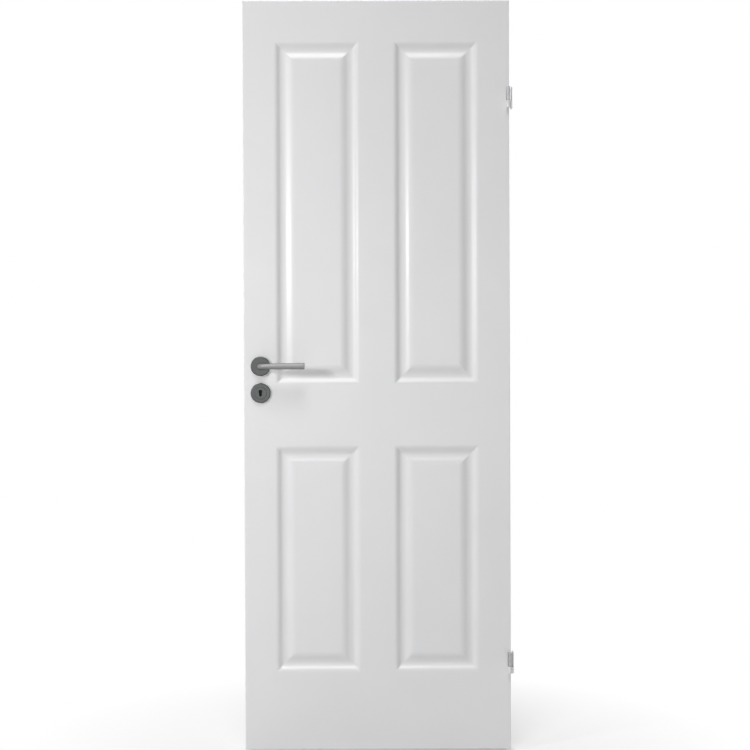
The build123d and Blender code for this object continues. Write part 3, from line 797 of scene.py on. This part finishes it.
class DOOR_OT_fit_lock(bpy.types.Operator):
    """Finishes the lock case, the face plate and the bolts, and drives the face plate's screws"""

    bl_idname = "door.fit_lock"
    bl_label = "Fit the lock"

    def execute(self, context):
        irons = context.scene.door_irons
        bright = worked_steel("brushed_bright_steel", irons.bright_steel, 0.30, (1800, 1800, 14), uv=False)
        coat_node("lock_case", moulded_plastic("black_case_coat", irons.case_steel, 0.5, 500.0))
        for node in ("lock_forend", "latch_bolt", "dead_bolt"):
            coat_node(node, bright)
        edge = node_box("lock_forend")[0][0]
        screws = worked_steel("screw_steel", irons.bright_steel, 0.28, (900, 900, 900), uv=False)
        for name, z, turn_by in (("lower", -0.5, 0.4), ("upper", 0.5, 1.1)):
            at = (edge, LOCK_MIDDLE[1], LOCK_MIDDLE[2] + z * irons.forend_pitch)
            drive_screw(f"forend_screw_{name}", at, -1, turn_by, irons, screws)
        return {"FINISHED"}


class DOOR_OT_hang_hinges(bpy.types.Operator):
    """Finishes the hinges and drives the screws of the leaf's halves"""

    bl_idname = "door.hang_hinges"
    bl_label = "Hang the hinges"

    def execute(self, context):
        irons = context.scene.door_irons
        zinc = dull_zinc("hinge_zinc", irons.hinge_steel)
        white = moulded_plastic("frame_half_lacquer", irons.frame_lacquer, 0.50, 380.0)
        nylon = moulded_plastic("washer_nylon", irons.washer_plastic, 0.45)
        pin = worked_steel("pin_steel", irons.bright_steel, 0.25, (1200, 1200, 30), uv=False)
        screws = worked_steel("hinge_screw_steel", irons.bright_steel, 0.50, (900, 900, 900), uv=False)
        plate_back = node_box("lower_hinge_frame_half")[1][1]
        middle = LEAF_LOW[1] + (plate_back - LEAF_LOW[1]) / 2
        spots = [(across, up) for across in (-0.5, 0.5) for up in (-0.5, 0.5)]
        for side, level in zip(HINGES, HINGE_LEVELS):
            coat_node(side + "_hinge_door_half", zinc)
            coat_node(side + "_hinge_frame_half", white)
            coat_node(side + "_hinge_washer", nylon)
            coat_node(side + "_hinge_pin", pin)
            for number, (across, up) in enumerate(spots, 1):
                at = (LEAF_HIGH[0], middle + across * irons.across, level + up * irons.up)
                drive_screw(f"{side}_hinge_screw_{number}", at, 1, 0.7 * number, irons, screws)
        return {"FINISHED"}


def softbox(name, power, at, across, aim):
    """An area lamp turned towards a point, unseen by the camera."""
    lamp = bpy.data.lights.new(name, "AREA")
    lamp.shape, lamp.energy = "RECTANGLE", power
    lamp.size, lamp.size_y = across
    holder = bpy.data.objects.new(name, lamp)
    holder.location = at
    holder.rotation_euler = (Vector(aim) - Vector(at)).to_track_quat("-Z", "Y").to_euler()
    holder.visible_camera = False
    bpy.context.scene.collection.objects.link(holder)


def seen_or_mirrored(tree):
    """1 for rays from the camera and for rays that are mirrored or let through, and 0 for the rest."""
    path = add(tree, "ShaderNodeLightPath").outputs
    seen = add(tree, "ShaderNodeMath", {0: path["Is Camera Ray"], 1: path["Is Glossy Ray"]},
               operation="MAXIMUM")
    seen = add(tree, "ShaderNodeMath", {0: seen.outputs["Value"], 1: path["Is Transmission Ray"]},
               operation="MAXIMUM")
    return seen.outputs["Value"]


def studio_floor(stage):
    """A pale floor that fades to the white background, keeps the shadow and is open from below."""
    level = LEAF_LOW[2] - stage.floor_drop
    line = np.linspace(-stage.floor_reach, stage.floor_reach, 9)
    u, v = np.meshgrid(line, line, indexing="ij")
    points = np.stack([u, v, 0 * u + level], axis=-1).reshape(-1, 3)
    mesh = bpy.data.meshes.new("studio_floor")
    mesh.from_pydata(points.tolist(), [], grid_quads(*u.shape).tolist())
    material = bpy.data.materials.new("matt_floor")
    material.use_nodes = True
    tree = material.node_tree
    tree.nodes.clear()
    plain = add(tree, "ShaderNodeTexCoord").outputs["Object"]
    matt = add(tree, "ShaderNodeBsdfDiffuse", {"Color": (*stage.floor_tint, 1.0)})
    white = add(tree, "ShaderNodeEmission", {"Color": (1, 1, 1, 1), "Strength": 1.0})
    clear = add(tree, "ShaderNodeBsdfTransparent")
    foot = ((LEAF_LOW[0] + LEAF_HIGH[0]) / 2, 0, level)
    away = add(tree, "ShaderNodeVectorMath", {0: plain, 1: foot}, operation="DISTANCE")
    fade = ranged(tree, away.outputs["Value"], stage.near_white, 1.0, (stage.fade_from, stage.fade_to))
    glow = add(tree, "ShaderNodeMath", {0: seen_or_mirrored(tree), 1: fade}, operation="MULTIPLY")
    lit = add(tree, "ShaderNodeMixShader", {0: glow.outputs["Value"], 1: matt.outputs["BSDF"],
                                            2: white.outputs["Emission"]})
    under = add(tree, "ShaderNodeNewGeometry").outputs["Backfacing"]
    open_below = add(tree, "ShaderNodeMixShader", {0: under, 1: lit.outputs["Shader"],
                                                   2: clear.outputs["BSDF"]})
    add(tree, "ShaderNodeOutputMaterial", {"Surface": open_below.outputs["Shader"]})
    mesh.materials.append(material)
    floor = bpy.data.objects.new("studio_floor", mesh)
    bpy.context.scene.collection.objects.link(floor)


def studio_room(stage):
    """A white background, with an even light for everything that isn't seen or mirrored."""
    world = bpy.data.worlds.new("studio_room")
    world.use_nodes = True
    tree = world.node_tree
    tree.nodes.clear()
    level = ranged(tree, seen_or_mirrored(tree), stage.room, 1.0, (0.0, 1.0))
    glow = add(tree, "ShaderNodeBackground", {"Color": (1, 1, 1, 1), "Strength": level})
    add(tree, "ShaderNodeOutputWorld", {"Surface": glow.outputs["Background"]})
    bpy.context.scene.world = world


def studio_camera(stage):
    """The camera: its view runs along yaw and pitch from +Y, and its picture is turned by roll."""
    pitch, yaw, roll = stage.camera_turn
    ahead = Vector((np.sin(yaw) * np.cos(pitch), np.cos(yaw) * np.cos(pitch), np.sin(pitch)))
    right = Vector((np.cos(yaw), -np.sin(yaw), 0))
    up = right.cross(ahead)
    across = right * np.cos(roll) + up * np.sin(roll)
    above = up * np.cos(roll) - right * np.sin(roll)
    camera = bpy.data.cameras.new("studio_camera")
    camera.lens, camera.sensor_width = stage.lens, SENSOR
    holder = bpy.data.objects.new("studio_camera", camera)
    turned = Matrix((across, above, -ahead)).transposed().to_4x4()
    holder.matrix_world = Matrix.Translation(stage.camera_place) @ turned
    bpy.context.scene.collection.objects.link(holder)
    bpy.context.scene.camera = holder


class DOOR_OT_set_stage(bpy.types.Operator):
    """Sets the camera, the lamps, the floor and the white background"""

    bl_idname = "door.set_stage"
    bl_label = "Set the stage"

    def execute(self, context):
        stage = context.scene.door_stage
        context.scene.view_settings.view_transform = "Standard"
        studio_camera(stage)
        studio_floor(stage)
        studio_room(stage)
        handle = (HANDLE_AXIS[0], LEAF_LOW[1], HANDLE_AXIS[1])
        middle = ((LEAF_LOW + LEAF_HIGH) / 2).tolist()
        aims = {"side_lamp": handle, "front_box": (*middle[:2], stage.front_box_aim),
                "high_box": (*middle[:2], stage.high_box_aim), "back_box": middle, "edge_box": middle}
        for lamp, aim in aims.items():
            power, at, across = [getattr(stage, lamp + part) for part in ("", "_place", "_pane")]
            softbox(lamp, power, at, across, aim)
        return {"FINISHED"}


class DOOR_PT_sidebar(bpy.types.Panel):
    """Lists the door's pieces and their sizes"""

    bl_idname = "DOOR_PT_sidebar"
    bl_label = "Interior Door"
    bl_space_type = "VIEW_3D"
    bl_region_type = "UI"
    bl_category = "Door"

    def draw(self, context):
        for settings, operators in SHOP:
            box = self.layout.box()
            for operator in operators:
                box.operator(operator.bl_idname)
            group = getattr(context.scene, settings)
            for key in group.bl_rna.properties.keys():
                if key not in ("rna_type", "name"):
                    box.prop(group, key)


SHOP = (
    ("door_leaf", (DOOR_OT_press_skins, DOOR_OT_lacquer_edges)),
    ("door_handle", (DOOR_OT_turn_roses, DOOR_OT_bend_levers)),
    ("door_irons", (DOOR_OT_fit_lock, DOOR_OT_hang_hinges)),
    ("door_stage", (DOOR_OT_set_stage,)),
)
SETTINGS = {"door_leaf": LeafSettings, "door_handle": HandleSettings, "door_irons": IronworkSettings,
            "door_stage": StageSettings}
CLASSES = (*SETTINGS.values(), *[o for _, operators in SHOP for o in operators], DOOR_PT_sidebar)


def register():
    """Makes the door's settings, operators and panel known to Blender."""
    for cls in CLASSES:
        bpy.utils.register_class(cls)
    for name, group in SETTINGS.items():
        setattr(bpy.types.Scene, name, PointerProperty(type=group))


def unregister():
    """Takes them away again."""
    for name in SETTINGS:
        delattr(bpy.types.Scene, name)
    for cls in reversed(CLASSES):
        bpy.utils.unregister_class(cls)


def main():
    """Builds the whole door and its stage."""
    register()
    bpy.ops.door.press_skins()
    bpy.ops.door.lacquer_edges()
    bpy.ops.door.turn_roses()
    bpy.ops.door.bend_levers()
    bpy.ops.door.fit_lock()
    bpy.ops.door.hang_hinges()
    bpy.ops.door.set_stage()


if __name__ == "__main__":
    main()
